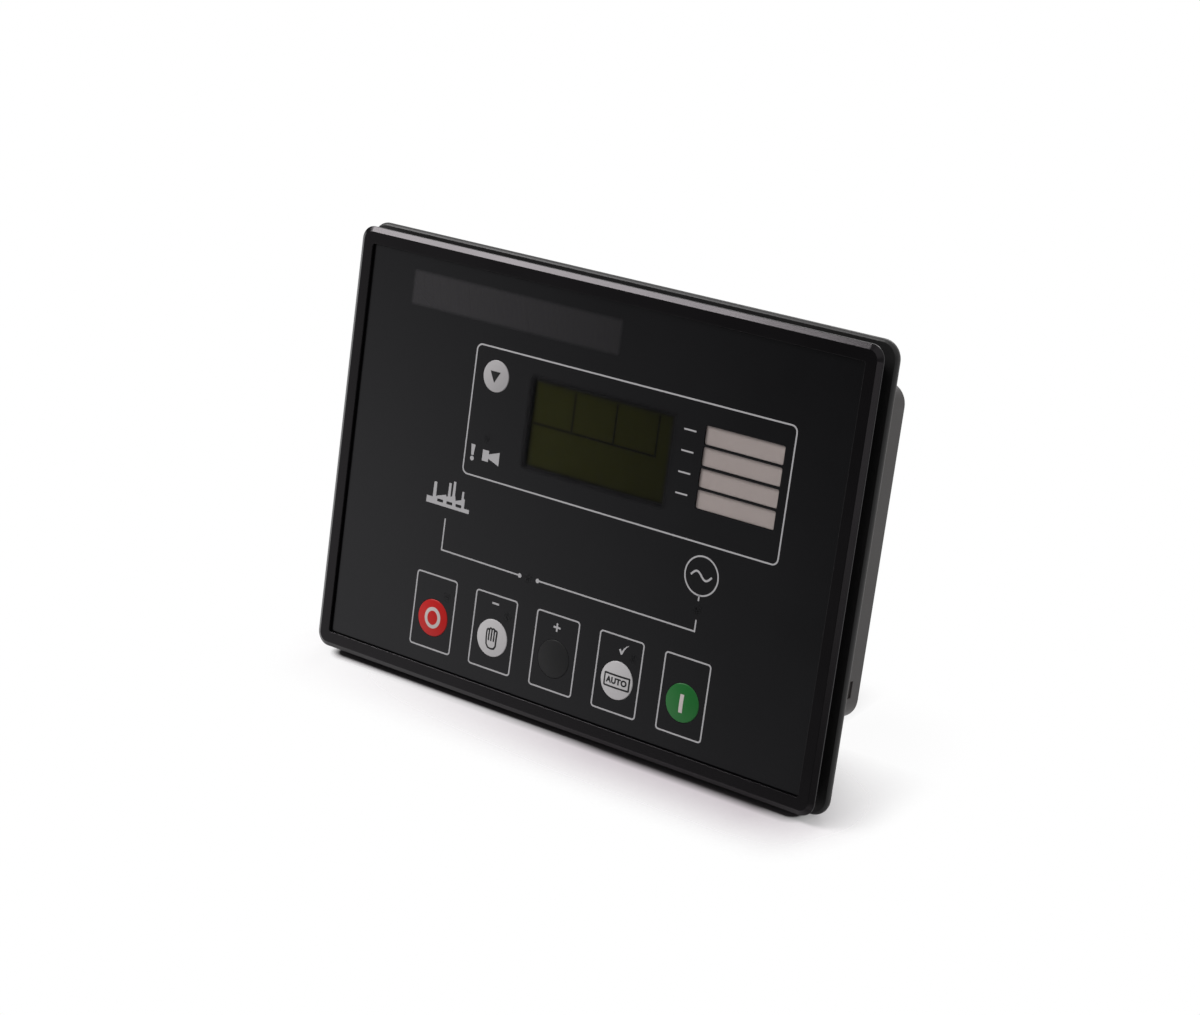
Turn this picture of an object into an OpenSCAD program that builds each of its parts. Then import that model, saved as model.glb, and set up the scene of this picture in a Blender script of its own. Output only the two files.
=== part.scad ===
// Panel-mount generator controller, millimetres.
// X runs to the viewer's right, Y from the front towards the back, Z up.
// The origin is the middle of the panel seat: y = 0 is the rear face of the flange.

/* [Flange and front frame] */
// Width of the rear moulding's flange, the widest part of the controller
flange_w = 240; // [236:1:246]
// Height of the flange
flange_h = 172; // [170:1:176]
// Thickness of the flange, whose edge is a full round
flange_t = 3; // [2.6:0.1:3.4]
// Corner radius of the flange
flange_r = 7; // [6:0.5:9]
// How far the front frame stays inside the flange on each side
frame_step = 1.3; // [0.8:0.1:2]
// Distance from the panel seat to the front of the rim
front_depth = 11.3; // [11:0.1:12]
// Corner radius of the front frame
frame_r = 5.5; // [4.5:0.5:6.5]
// Width of the bevel on the front frame's edge, seen from the front
bevel_w = 2.0; // [1.6:0.1:3]
// Depth of that bevel
bevel_d = 1.3; // [0.8:0.1:1.5]
// Thickness of the front frame at its edge
frame_lip = 1.9; // [1.7:0.1:2.1]
// Depth of the groove between the front frame and the flange
groove_d = 5; // [4:0.5:6]

/* [Front film] */
// Width of the rim round the film's recess
rim_w = 6.4; // [6:0.1:7]
// Gap between the film's edge and the rim
film_gap = 0.8; // [0.4:0.1:1]
// Thickness of the printed film
film_t = 0.6; // [0.4:0.1:0.8]
// How far the film's face lies behind the rim
film_recess = 1.2; // [1:0.1:1.4]
// Thickness of the front panel behind the film
panel_t = 2; // [1.9:0.1:2.2]

/* [Keys] */
// Diameter of the five mode keys
key_d = 14.6; // [13:0.2:15]
// Diameter of the scroll key
scroll_d = 12.2; // [11:0.2:13]
// Distance between neighbouring mode keys
key_pitch = 29.85; // [29:0.05:31]
// Place of the middle mode key, right of centre
key_row_x = -1.6; // [-3:0.1:1]
// Height of the mode key row above the front frame's lower edge
key_row_up = 25.5; // [24.5:0.1:26.5]
// How far a key travels
key_travel = 0.4; // [0.2:0.05:0.45]
// Height of a key's dome
key_dome = 0.6; // [0.3:0.1:0.7]

/* [Display] */
// Width of the display glass
lcd_w = 70; // [66:1:74]
// Height of the display glass
lcd_h = 40; // [38:1:42]
// Distance from the front frame's right edge to the display's middle
lcd_from_right = 114.4; // [112:0.1:118]
// Distance from the front frame's top edge to the display's middle
lcd_from_top = 58.3; // [56:0.1:60]

/* [Rear box] */
// Distance from the flange's side to the rear box's side
box_inset_x = 21; // [20:0.5:22]
// Distance from the flange's top to the rear box's top
box_inset_z = 22.5; // [21:0.5:23.5]
// Depth of the rear box behind the flange
box_d = 45.7; // [44:0.1:48]
// Wall thickness of the rear box
wall = 2.5; // [2:0.1:2.8]
// Corner radius of the rear box
box_r = 8; // [6:0.5:9]
// How far the sides of the lower bay, which holds a terminal row, lie inside the box's sides
bay_inset = 13; // [12:0.5:15]
// How far the lower bay reaches below the box
bay_drop = 12.4; // [12:0.1:13]
// Clearance between the rear case and the panel cut-out on each side
cutout_gap = 0.3; // [0.2:0.1:0.6]

/* [Vents] */
// Width of a vent slot in the rear wall
vent_w = 2.2; // [1.6:0.1:2.6]
// Height of a vent slot
vent_h = 26; // [20:1:32]
// Distance between neighbouring vent slots
vent_pitch = 5; // [4:0.1:5.4]
// Number of slots in each of the two groups
vent_ways = 8; // [4:1:8]

/* [Boards] */
// Thickness of the circuit boards
board_t = 1.6; // [1.4:0.1:1.7]
// How far the display board's ends lie inside the box's sides
display_board_inset = 7; // [6:0.5:8]
// Gap between the main board and the box's walls
main_board_gap = 3.5; // [3:0.5:4]
// Height of the terminal headers
header_h = 12.5; // [11.5:0.5:13]
// Distance between terminal pins
pin_pitch = 5.08; // [5:0.02:5.16]

/* [Hidden] */
$fn = 48;
eps = 0.01;
over = 1;

// Depths, from the front to the back
y_rim = -front_depth;
y_film = y_rim + film_recess;
y_floor = y_film + film_t;
y_panel = y_floor + panel_t;
y_lip = y_rim + frame_lip;
y_flange = -flange_t;
board_room = 0.1;
y_board_back = y_flange - board_room;
y_board = y_board_back - board_t;
y_box_back = box_d;
y_box_inner = box_d - wall;
header_sink = 1.2;
y_main_back = box_d - header_h - header_sink;
y_main = y_main_back - board_t;

// Front frame, its skirt and the recess for the film
frame_w = flange_w - 2 * frame_step;
frame_h = flange_h - 2 * frame_step;
skirt_w = frame_w - 2 * groove_d;
skirt_h = frame_h - 2 * groove_d;
skirt_r = 3;
skirt_inner_r = 1;
skirt_wall = 2.2;
recess_r = 1;
recess_w = frame_w - 2 * rim_w;
recess_h = frame_h - 2 * rim_w;
film_w = recess_w - 2 * film_gap;
film_h = recess_h - 2 * film_gap;
film_r = 0.8;

// Places of the display and the key row, from the frame's edges
lcd_x = frame_w / 2 - lcd_from_right;
lcd_z = frame_h / 2 - lcd_from_top;
key_row_z = key_row_up - frame_h / 2;

// Cards behind the film's clear areas
card_t = 0.5;
card_room = 0.3;
title_from_left = 78.3;
title_from_top = 19.1;
title_size = [104, 16];
title_pos = [title_from_left - frame_w / 2, frame_h / 2 - title_from_top];
alarm_from_lcd = [64.1, 1];
alarm_size = [42, 38];
alarm_pos = [lcd_x, lcd_z] + alarm_from_lcd;

// Keys in the order stop, manual, blank, auto, start, then scroll
scroll_from_lcd = [-49.4, 13.4];
scroll_pos = [lcd_x, lcd_z] + scroll_from_lcd;
key_places = concat([for (i = [-2:2]) [key_row_x + i * key_pitch, key_row_z]], [scroll_pos]);
key_room = 0.3;
key_skirt = 1;
key_skirt_t = 0.4;
key_skirt_drop = 0.15;
key_edge = 0.15;
pocket_d = 1.2;
stem_r = 2;
stem_room = 0.4;
stem_out = 0.2;
y_stem = y_panel + stem_out;

// Switches under the keys
switch_w = 6;
switch_gap = 0.8;
switch_t = y_board - y_panel - switch_gap;
plunger_r = 1.7;
plunger_room = 0.2;
plunger_share = 0.35;
plunger_in = plunger_share * switch_t;

// Indicators: alarm, breaker, generator, stop, manual and auto modes
led_r = 1.5;
led_room = 0.2;
led_base_r = 1.9;
led_gap = 0.1;
led_base_gap = 0.3;
alarm_led_from_lcd = [-49.9, -10.9];
breaker_led = [-16.3, 27.1];
generator_led = [60.5, 35.2];
mode_led = [6, 10];
led_places = concat(
  [[lcd_x, lcd_z] + alarm_led_from_lcd],
  [for (p = [breaker_led, generator_led]) key_places[2] + p],
  [for (i = [0, 1, 3]) key_places[i] + mode_led]
);

// Display stack between the film and the display board
lcd_lip = 2;
lcd_wall = 2;
lcd_room = 0.1;
lcd_hole_room = 0.5;
lcd_frame_gap = 0.3;
lcd_lip_t = 0.4;
lcd_glass_t = 1.9;
lcd_strip_h = 2.2;
lcd_strip_in = 2;
lcd_strip_gap = 0.3;
y_lcd_lip = y_floor + lcd_frame_gap;
y_lcd = y_lcd_lip + lcd_lip_t;
y_light = y_lcd + lcd_glass_t;

// Screws: shank, head and bosses
screw_r = 1.5;
screw_head_r = 2.8;
screw_head_t = 1.8;
screw_head_round = 0.7;
screw_slot_w = 0.8;
screw_slot_len = 3.4;
screw_slot_d = 1;
screw_end_room = 0.5;
screw_hole_r = 1.7;
boss_r = 3.2;
case_screw_len = 7;
case_screw_in_x = 20.7;
case_screw_in_z = 13.7;
case_screw_side_in = 14.2;
case_screw_x = frame_w / 2 - case_screw_in_x;
case_screw_z = frame_h / 2 - case_screw_in_z;
case_screw_side_x = frame_w / 2 - case_screw_side_in;
case_screw_mid_x = 33;
case_screw_places = concat(
  [for (sx = [-1, 1], sz = [-1, 1]) [sx * case_screw_x, sz * case_screw_z]],
  [for (sx = [-1, 1]) [sx * case_screw_side_x, 0]],
  [for (sx = [-1, 1]) [sx * case_screw_mid_x, case_screw_z]]
);

// Rear box and the rib that locates it in the panel's cut-out
box_w = flange_w - 2 * box_inset_x;
box_h = flange_h - 2 * box_inset_z;
box_inner_r = box_r - wall;
bay_w = box_w - 2 * bay_inset;
bay_r = 4;
bay_inner_r = 2;
bay_bottom = -box_h / 2 - bay_drop;
rear_bevel = 1.2;
edge_overlap = 0.1;
cutout_in_x = 10;
cutout_in_z = 6;
rib_w = flange_w - 2 * cutout_in_x - 2 * cutout_gap;
rib_h = flange_h - 2 * cutout_in_z - 2 * cutout_gap;
rib_t = 1.6;
rib_r = 4;
well_d = 0.8;
well_step = 0.9;
vent_in = 41;
vent_z = -14;
vent_x = box_w / 2 - vent_in;

// Display board and its screws, clear of the case screws' bosses
display_board_room = 1.8;
display_board_w = box_w - 2 * display_board_inset;
display_board_h = 2 * (case_screw_z - boss_r - display_board_room);
display_screw_len = 5;
display_screw_in_x = 5;
display_screw_in_z = 8.5;
display_screw_x = display_board_w / 2 - display_screw_in_x;
display_screw_z = box_h / 2 - display_screw_in_z;
display_screw_places = concat(
  [for (sx = [-1, 1], sz = [-1, 1]) [sx * display_screw_x, sz * display_screw_z]],
  [for (s = [-1.5, 1.5]) [key_row_x + s * key_pitch, -display_screw_z]]
);

// Main board with its tongue in the bay, and its screws
main_board_w = box_w - 2 * wall - 2 * main_board_gap;
main_board_h = box_h - 2 * wall - 2 * main_board_gap;
tongue_in = 4;
tongue_w = bay_w - 2 * tongue_in;
tongue_room = 0.5;
tongue_bottom = bay_bottom + wall + tongue_room;
main_screw_len = 9;
main_screw_in_x = 6;
main_screw_in_z = 7.5;
main_screw_x = main_board_w / 2 - main_screw_in_x;
main_screw_z = main_board_h / 2 - main_screw_in_z;
main_screw_mid = [30, 20];
main_screw_places = concat(
  [for (sx = [-1, 1], sz = [-1, 1]) [sx * main_screw_x, sz * main_screw_z]],
  [for (sx = [-1, 1]) [sx * main_screw_mid[0], main_screw_mid[1]]]
);

// Terminal headers: the lower row shares out the bay's width, and each header holds the ways that fit
header_w = 8.4;
header_wall = 1;
header_floor = 2.5;
header_room = 0.4;
header_end = 0.8;
coding_w = 2;
coding_d = 4;
pin_w = 1;
pin_short = 1.5;
lower_in = 7;
lower_gap = 7;
lower_room = bay_w - 2 * lower_in - 2 * lower_gap;
lower_shares = [0.42, 0.34, 0.24];
lower_ways = [for (share = lower_shares) floor((share * lower_room - 2 * header_end) / pin_pitch)];
lower_start = [
  0,
  lower_shares[0] * lower_room + lower_gap,
  (lower_shares[0] + lower_shares[1]) * lower_room + 2 * lower_gap
];
lower_x = [for (i = [0:2]) lower_in - bay_w / 2 + lower_start[i] + lower_shares[i] * lower_room / 2];
lower_row_z = tongue_bottom + header_w / 2;
upper_from_top = 17.5;
upper_row_z = box_h / 2 - upper_from_top;
upper_ways = [5, 4];
upper_x = [-56, -14];
comms_x = 50;
comms_size = [14, 12];
comms_cavity = [11, 8];
comms_ways = 8;
comms_pitch = 1.1;
comms_pin_w = 0.5;
comms_pin_in = 1.2;
comms_pin_short = 4;

// Relays, capacitors and the processor on the front of the main board
part_row_z = -30;
relay_size = [19, 15.5, 15.3];
relay_in = 23;
relay_pitch = 24;
relay_rows = [for (i = [0:3]) [relay_in - main_board_w / 2 + i * relay_pitch, part_row_z]];
relay_pin = [7, 5];
relay_standoff = 0.6;
capacitor_r = 6.25;
capacitor_len = 20;
capacitor_in = 15;
capacitor_pitch = 17;
capacitor_places = [for (i = [0:2]) [main_board_w / 2 - capacitor_in - i * capacitor_pitch, part_row_z]];
processor_size = [14, 1.4];
processor_pos = [4, 22];

// Ribbon between the boards
ribbon_in = 40;
ribbon_up = 2;
ribbon_pos = [ribbon_in - display_board_w / 2, ribbon_up];
ribbon_w = 25;
ribbon_t = 0.9;
ribbon_header = [32, 9, 9];
ribbon_socket = [30, 6, 5];
ribbon_run = 9;
y_socket_front = y_board_back + ribbon_header[2];
y_socket_back = y_main - ribbon_header[2];

// Shallow pockets for the fixing clips: lower end of both sides, and two on the top
clip_slot = [6.4, 4];
clip_slot_depth = 0.8;
clip_from_back = 9.2;
clip_up = 13.2;
clip_top_in = 29;
clip_y = box_d - clip_from_back;
clip_side_z = clip_up - box_h / 2;
clip_top_x = box_w / 2 - clip_top_in;

// Plate from y0 to y1 with an outline drawn as seen from the front
module slab(y0, y1) {
  translate([0, y1, 0])
    rotate([90, 0, 0])
      linear_extrude(y1 - y0)
        children();
}

// Rectangle with round corners, centred
module rounded(w, h, r) {
  square([w - 2 * r, h], center = true);
  square([w, h - 2 * r], center = true);
  for (sx = [-1, 1], sz = [-1, 1])
    translate([sx * (w / 2 - r), sz * (h / 2 - r)])
      circle(r);
}

module spread(places) {
  for (p = places)
    translate(p)
      children();
}

// Runs a section round a rounded rectangle: x of the section is the distance from the corner's
// centre and y its depth, so straight runs are prisms and the corners are true turned quarters
module edge_sweep(w, h, r) {
  for (m = [0, 1])
    mirror([m, 0, 0])
      translate([w / 2 - r, 0, r - h / 2])
        linear_extrude(h - 2 * r)
          children();
  for (m = [0, 1])
    mirror([0, 0, m])
      translate([w / 2 - r, 0, h / 2 - r])
        rotate([0, -90, 0])
          linear_extrude(w - 2 * r)
            children();
  for (mx = [0, 1], mz = [0, 1])
    mirror([mx, 0, 0])
      mirror([0, 0, mz])
        translate([w / 2 - r, 0, r - h / 2])
          rotate([-90, 0, 0])
            rotate_extrude(angle = 90)
              children();
}

// Round solid about a line along Y, its section's y pointing to the front from depth y0
module turned(place, y0) {
  translate([place[0], y0, place[1]])
    rotate([90, 0, 0])
      rotate_extrude()
        children();
}

// Pan-head screw at depth y with its head behind, its shank towards the front and a cross recess
module screw(place, y, len) {
  translate([place[0], 0, place[1]])
    difference() {
      union() {
        slab(y - len, y + eps) circle(screw_r);
        turned([0, 0], y) mirror([0, 1]) screw_head();
      }
      slab(y + screw_head_t - screw_slot_d, y + screw_head_t + over) {
        square([screw_slot_len, screw_slot_w], center = true);
        square([screw_slot_w, screw_slot_len], center = true);
      }
    }
}

// Half section of a pan head with a rounded edge
module screw_head() {
  square([screw_head_r, screw_head_t - screw_head_round]);
  square([screw_head_r - screw_head_round, screw_head_t]);
  translate([screw_head_r - screw_head_round, screw_head_t - screw_head_round])
    circle(screw_head_round);
}

// Same screw with its head in front and its shank towards the back
module screw_from_front(place, y, len) {
  translate([0, 2 * y, 0])
    mirror([0, 1, 0])
      screw(place, y, len);
}

function key_r(i) = (i < 5 ? key_d : scroll_d) / 2;

module front_bezel() {
  color("#1b1b1e")
    difference() {
      union() {
        slab(y_rim, y_lip) rounded(frame_w, frame_h, frame_r);
        difference() {
          slab(y_lip - eps, y_flange) rounded(skirt_w, skirt_h, skirt_r);
          slab(y_panel, y_flange + over)
            rounded(skirt_w - 2 * skirt_wall, skirt_h - 2 * skirt_wall, skirt_inner_r);
        }
        slab(y_panel - eps, y_flange) spread(case_screw_places) circle(boss_r);
        slab(y_panel - eps, y_board) spread(display_screw_places) circle(boss_r);
      }
      edge_sweep(frame_w, frame_h, frame_r)
        polygon([
          [frame_r - bevel_w, y_rim - eps],
          [frame_r + eps, y_rim - eps],
          [frame_r + eps, y_rim + bevel_d]
        ]);
      slab(y_rim - over, y_floor) rounded(recess_w, recess_h, recess_r);
      slab(y_floor - over, y_floor + card_t) {
        translate(title_pos) square(title_size + [card_room, card_room], center = true);
        translate(alarm_pos) square(alarm_size + [card_room, card_room], center = true);
      }
      slab(y_floor - over, y_panel + over)
        translate([lcd_x, lcd_z])
          square([lcd_w, lcd_h] + 2 * (lcd_wall + lcd_hole_room) * [1, 1], center = true);
      for (i = [0:5])
        translate([key_places[i][0], 0, key_places[i][1]]) {
          slab(y_floor - over, y_floor + pocket_d) circle(key_r(i) + key_skirt + key_room);
          slab(y_floor - over, y_panel + over) circle(stem_r + stem_room);
        }
      slab(y_floor - over, y_panel + over) spread(led_places) circle(led_r + led_room);
      slab(-case_screw_len - screw_end_room, y_flange + over)
        spread(case_screw_places) circle(screw_r);
      slab(y_board_back - display_screw_len - screw_end_room, y_board + over)
        spread(display_screw_places) circle(screw_r);
    }
}

module membrane_overlay() {
  color("#121214")
    slab(y_film, y_floor)
      difference() {
        rounded(film_w, film_h, film_r);
        for (i = [0:5])
          translate(key_places[i])
            circle(key_r(i) + key_room);
      }
}

module title_card() {
  color("#3a3a3e")
    slab(y_floor, y_floor + card_t)
      translate(title_pos)
        square(title_size, center = true);
}

module alarm_card() {
  color("#d8d4d0")
    slab(y_floor, y_floor + card_t)
      translate(alarm_pos)
        square(alarm_size, center = true);
}

// Domed key with a skirt that the film holds back and a stem down to its switch
module key(i) {
  r = key_r(i);
  dome_r = (r * r + key_dome * key_dome) / (2 * key_dome);
  top = film_t + key_edge;
  under = key_skirt_drop + key_skirt_t;
  turned(key_places[i], y_floor) {
    translate([0, -under]) square([r, under + top]);
    translate([0, -under]) square([r + key_skirt, key_skirt_t]);
    translate([0, y_floor - y_stem]) square([stem_r, y_stem - y_floor - under + eps]);
    intersection() {
      translate([0, top + key_dome - dome_r]) circle(dome_r, $fn = 200);
      translate([0, top - eps]) square([r, key_dome + over]);
    }
  }
}

module key_stop() color("#c9302c") key(0);
module key_manual() color("#c9c5c0") key(1);
module key_blank() color("#161618") key(2);
module key_auto() color("#c9c5c0") key(3);
module key_start() color("#1f8a3d") key(4);
module key_scroll() color("#c9c5c0") key(5);

module plunger(i) {
  color("#2b2b2b")
    translate([key_places[i][0], 0, key_places[i][1]])
      slab(y_stem, y_board - switch_t + plunger_in) circle(plunger_r);
}

module plunger_stop() plunger(0);
module plunger_manual() plunger(1);
module plunger_blank() plunger(2);
module plunger_auto() plunger(3);
module plunger_start() plunger(4);
module plunger_scroll() plunger(5);

module switch_bodies() {
  color("#4a4a4c")
    difference() {
      slab(y_board - switch_t, y_board)
        spread(key_places) square(switch_w, center = true);
      slab(y_board - switch_t - over, y_board - switch_t + plunger_in + key_travel + plunger_room)
        spread(key_places) circle(plunger_r + plunger_room);
    }
}

module indicator_leds() {
  color("#303032")
    for (p = led_places) {
      reach = y_board - y_floor - led_gap;
      turned(p, y_board) {
        square([led_r, reach - led_r]);
        square([led_base_r, y_board - y_panel - led_base_gap]);
        translate([0, reach - led_r])
          intersection() {
            circle(led_r);
            translate([0, -eps]) square(led_r + over);
          }
      }
    }
}

module display_board() {
  color("#1d4d32")
    slab(y_board, y_board_back)
      difference() {
        square([display_board_w, display_board_h], center = true);
        spread(display_screw_places) circle(screw_hole_r);
      }
}

module display_board_screws() {
  color("#b8b8b8")
    for (p = display_screw_places)
      screw(p, y_board_back, display_screw_len);
}

module lcd_glass() {
  color("#5c6232")
    slab(y_lcd, y_light)
      translate([lcd_x, lcd_z])
        square([lcd_w, lcd_h], center = true);
}

module lcd_frame() {
  inner = [lcd_w + 2 * lcd_room, lcd_h + 2 * lcd_room];
  color("#202022")
    difference() {
      slab(y_lcd_lip, y_board)
        translate([lcd_x, lcd_z])
          square([lcd_w + 2 * lcd_wall, lcd_h + 2 * lcd_wall], center = true);
      slab(y_lcd, y_board + over)
        translate([lcd_x, lcd_z])
          square(inner, center = true);
      slab(y_lcd_lip - over, y_lcd + over)
        translate([lcd_x, lcd_z])
          square([lcd_w - 2 * lcd_lip, lcd_h - 2 * lcd_lip], center = true);
    }
}

module lcd_backlight() {
  color("#d9dcc0")
    slab(y_light, y_board)
      translate([lcd_x, lcd_z])
        square([lcd_w, lcd_h - 2 * lcd_strip_h - 2 * lcd_strip_gap], center = true);
}

module lcd_contact_strips() {
  color("#8f8f93")
    slab(y_light, y_board)
      for (s = [-1, 1])
        translate([lcd_x, lcd_z + s * (lcd_h - lcd_strip_h) / 2])
          square([lcd_w - 2 * lcd_strip_in, lcd_strip_h], center = true);
}

module display_header() {
  color("#2a2a2c")
    slab(y_board_back, y_socket_front)
      translate(ribbon_pos)
        square([ribbon_header[0], ribbon_header[1]], center = true);
}

module main_header() {
  color("#2a2a2c")
    slab(y_socket_back, y_main)
      translate(ribbon_pos)
        square([ribbon_header[0], ribbon_header[1]], center = true);
}

module display_socket() {
  color("#8a8a8c")
    slab(y_socket_front, y_socket_front + ribbon_socket[2])
      translate(ribbon_pos)
        square([ribbon_socket[0], ribbon_socket[1]], center = true);
}

module main_socket() {
  color("#8a8a8c")
    slab(y_socket_back - ribbon_socket[2], y_socket_back)
      translate(ribbon_pos)
        square([ribbon_socket[0], ribbon_socket[1]], center = true);
}

module ribbon_cable() {
  y_a = y_socket_front + ribbon_socket[2] / 2;
  y_b = y_socket_back - ribbon_socket[2] / 2;
  bend_r = (y_b - y_a + ribbon_t) / 2;
  start = -ribbon_socket[1] / 2;
  color("#9a9a9e")
    translate([ribbon_pos[0] - ribbon_w / 2, 0, ribbon_pos[1] + start])
      rotate([90, 0, 90])
        linear_extrude(ribbon_w) {
          for (y = [y_a, y_b])
            translate([y - ribbon_t / 2, -ribbon_run]) square([ribbon_t, ribbon_run]);
          translate([(y_a + y_b) / 2, -ribbon_run])
            intersection() {
              difference() {
                circle(bend_r);
                circle(bend_r - ribbon_t);
              }
              translate([-bend_r, -bend_r]) square([2 * bend_r, bend_r]);
            }
        }
}

module main_board() {
  color("#1d4d32")
    slab(y_main, y_main_back)
      difference() {
        union() {
          square([main_board_w, main_board_h], center = true);
          translate([-tongue_w / 2, tongue_bottom]) square([tongue_w, -tongue_bottom]);
        }
        spread(main_screw_places) circle(screw_hole_r);
      }
}

module main_board_screws() {
  color("#b8b8b8")
    for (p = main_screw_places)
      screw_from_front(p, y_main, main_screw_len);
}

module processor() {
  color("#161616")
    slab(y_main - processor_size[1], y_main)
      translate(processor_pos)
        square(processor_size[0], center = true);
}

module relays() {
  color("#27313a")
    slab(y_main - relay_standoff - relay_size[2], y_main - relay_standoff)
      spread(relay_rows) square([relay_size[0], relay_size[1]], center = true);
}

module relay_pins() {
  color("#c0c0c0")
    slab(y_main - relay_standoff, y_main)
      spread(relay_rows)
        for (sx = [-1, 1], sz = [-1, 1])
          translate([sx * relay_pin[0], sz * relay_pin[1]]) square(pin_w, center = true);
}

module capacitors() {
  color("#22283c")
    slab(y_main - capacitor_len, y_main)
      spread(capacitor_places) circle(capacitor_r);
}

function header_len(ways) = ways * pin_pitch + 2 * header_end;

function way_x(x, ways, k) = x + (k - (ways - 1) / 2) * pin_pitch;

// Row of shrouded headers on the back of the main board, open to the back, with coding notches
module header_row(xs, ways, z) {
  y_end = y_main_back + header_h;
  difference() {
    slab(y_main_back, y_end)
      row_outline(xs, ways, z, 0);
    slab(y_main_back + header_floor, y_end + over)
      row_outline(xs, ways, z, -header_wall);
    slab(y_end - coding_d, y_end + over)
      for (i = [0:len(xs) - 1], k = [0:ways[i] - 1])
        translate([way_x(xs[i], ways[i], k), z + header_w / 2])
          square([coding_w, header_wall], center = true);
  }
}

module pin_row(xs, ways, z) {
  slab(y_main_back + header_floor, y_main_back + header_h - pin_short)
    for (i = [0:len(xs) - 1], k = [0:ways[i] - 1])
      translate([way_x(xs[i], ways[i], k), z]) square(pin_w, center = true);
}

// Outlines of a row of headers, grown on each side
module row_outline(xs, ways, z, grow) {
  for (i = [0:len(xs) - 1])
    translate([xs[i], z])
      square([header_len(ways[i]) + 2 * grow, header_w + 2 * grow], center = true);
}

// Openings in the rear wall for the headers and the comms socket, grown on each side
module rear_openings(grow) {
  row_outline(lower_x, lower_ways, lower_row_z, grow);
  row_outline(upper_x, upper_ways, upper_row_z, grow);
  translate([comms_x, upper_row_z])
    square(comms_size + 2 * grow * [1, 1], center = true);
}

module lower_headers() color("#2f6b3c") header_row(lower_x, lower_ways, lower_row_z);
module lower_pins() color("#c8c8c8") pin_row(lower_x, lower_ways, lower_row_z);
module upper_headers() color("#2f6b3c") header_row(upper_x, upper_ways, upper_row_z);
module upper_pins() color("#c8c8c8") pin_row(upper_x, upper_ways, upper_row_z);

module comms_socket() {
  y_end = y_main_back + header_h;
  color("#2a2a2c")
    difference() {
      slab(y_main_back, y_end)
        translate([comms_x, upper_row_z]) square(comms_size, center = true);
      slab(y_main_back + header_floor, y_end + over)
        translate([comms_x, upper_row_z]) square(comms_cavity, center = true);
    }
}

module comms_contacts() {
  z = upper_row_z + comms_cavity[1] / 2 - comms_pin_in;
  color("#d0b060")
    slab(y_main_back + header_floor, y_main_back + header_h - comms_pin_short)
      for (k = [0:comms_ways - 1])
        translate([comms_x + (k - (comms_ways - 1) / 2) * comms_pitch, z])
          square(comms_pin_w, center = true);
}

// Outline of the rear box: the box itself and the bay below it for the terminal row
module box_outline(inset, r, low_r) {
  rounded(box_w - 2 * inset, box_h - 2 * inset, r);
  translate([0, (bay_bottom + inset) / 2])
    rounded(bay_w - 2 * inset, -bay_bottom - inset, low_r);
}

// Block behind the flange with a bevel round its rear edge
module bevelled_block(w, h, r) {
  difference() {
    slab(-eps, y_box_back) rounded(w, h, r);
    edge_sweep(w, h, r)
      polygon([
        [r - rear_bevel, y_box_back + eps],
        [r + eps, y_box_back + eps],
        [r + eps, y_box_back - rear_bevel]
      ]);
  }
}

// Two groups of upright vent slots with round ends
module vents() {
  for (s = [-1, 1], k = [0:vent_ways - 1])
    translate([s * vent_x + (k - (vent_ways - 1) / 2) * vent_pitch, vent_z]) {
      square([vent_w, vent_h - vent_w], center = true);
      for (e = [-1, 1])
        translate([0, e * (vent_h - vent_w) / 2]) circle(vent_w / 2);
    }
}

module clip_slots() {
  for (s = [-1, 1]) {
    translate([s * box_w / 2, clip_y, clip_side_z])
      cube([2 * clip_slot_depth, clip_slot[1], clip_slot[0]], center = true);
    translate([s * clip_top_x, clip_y, box_h / 2])
      cube([clip_slot[0], clip_slot[1], 2 * clip_slot_depth], center = true);
  }
}

module rear_case() {
  flange_edge = flange_t / 2;
  color("#2a2828")
    difference() {
      union() {
        slab(y_flange, 0)
          rounded(flange_w - 2 * flange_edge, flange_h - 2 * flange_edge, flange_r - flange_edge);
        edge_sweep(flange_w, flange_h, flange_r)
          intersection() {
            translate([flange_r - flange_edge - edge_overlap, -flange_edge])
              circle(flange_edge + edge_overlap);
            translate([flange_r - 2 * flange_edge, -flange_t]) square([2 * flange_edge, flange_t]);
          }
        difference() {
          slab(-eps, rib_t) rounded(rib_w, rib_h, rib_r);
          slab(-over, rib_t + over) rounded(rib_w - 2 * rib_t, rib_h - 2 * rib_t, rib_r - rib_t);
        }
        difference() {
          union() {
            bevelled_block(box_w, box_h, box_r);
            translate([0, 0, bay_bottom / 2]) bevelled_block(bay_w, -bay_bottom, bay_r);
          }
          slab(-over, y_box_inner) box_outline(wall, box_inner_r, bay_inner_r);
        }
        slab(y_main_back, y_box_inner + eps) spread(main_screw_places) circle(boss_r);
      }
      slab(y_flange - over, over) box_outline(wall, box_inner_r, bay_inner_r);
      slab(y_flange - over, over) spread(case_screw_places) circle(screw_hole_r);
      slab(y_main_back - over, y_main + main_screw_len + screw_end_room)
        spread(main_screw_places) circle(screw_r);
      slab(y_box_inner - over, y_box_back + over) {
        rear_openings(header_room);
        vents();
      }
      slab(y_box_back - well_d, y_box_back + over) rear_openings(header_room + well_step);
      clip_slots();
    }
}

module case_screws() {
  color("#b8b8b8")
    for (p = case_screw_places)
      screw(p, 0, case_screw_len);
}

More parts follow.
